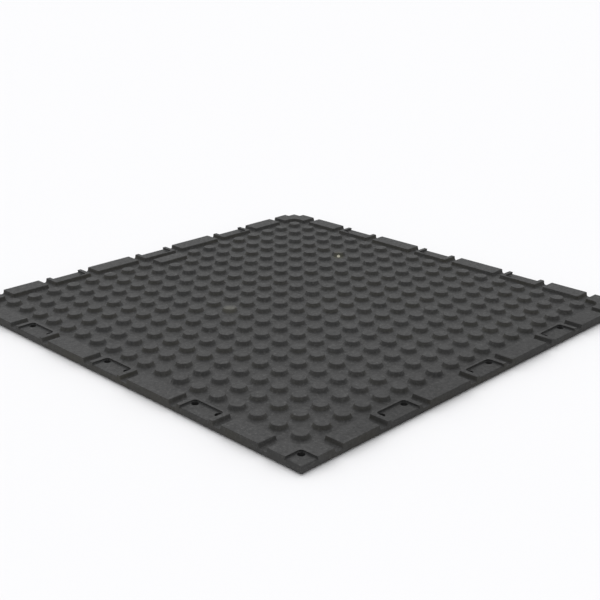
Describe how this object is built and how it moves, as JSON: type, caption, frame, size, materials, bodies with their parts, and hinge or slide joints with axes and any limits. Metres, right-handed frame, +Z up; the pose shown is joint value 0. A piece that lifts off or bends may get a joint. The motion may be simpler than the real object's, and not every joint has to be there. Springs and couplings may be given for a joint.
{
  "type": "rubber gym floor tile",
  "caption": "Square one-piece rubber gym floor tile with a smooth tread face, round studs underneath and a raised border with open connector pockets and pin holes",
  "frame": {"origin": "middle of the tread face, on the floor that the tile lies on", "axes": "+Z is up through the thickness, towards the studs; X and Y run along the tile's edges; the raised plate is at +Y"},
  "size_m": [1, 1, 0.02],
  "materials": {
    "rubber": "matte"
  },
  "bodies": {
    "root": {"rubber_tile": "rubber"}
  },
  "joints": []
}
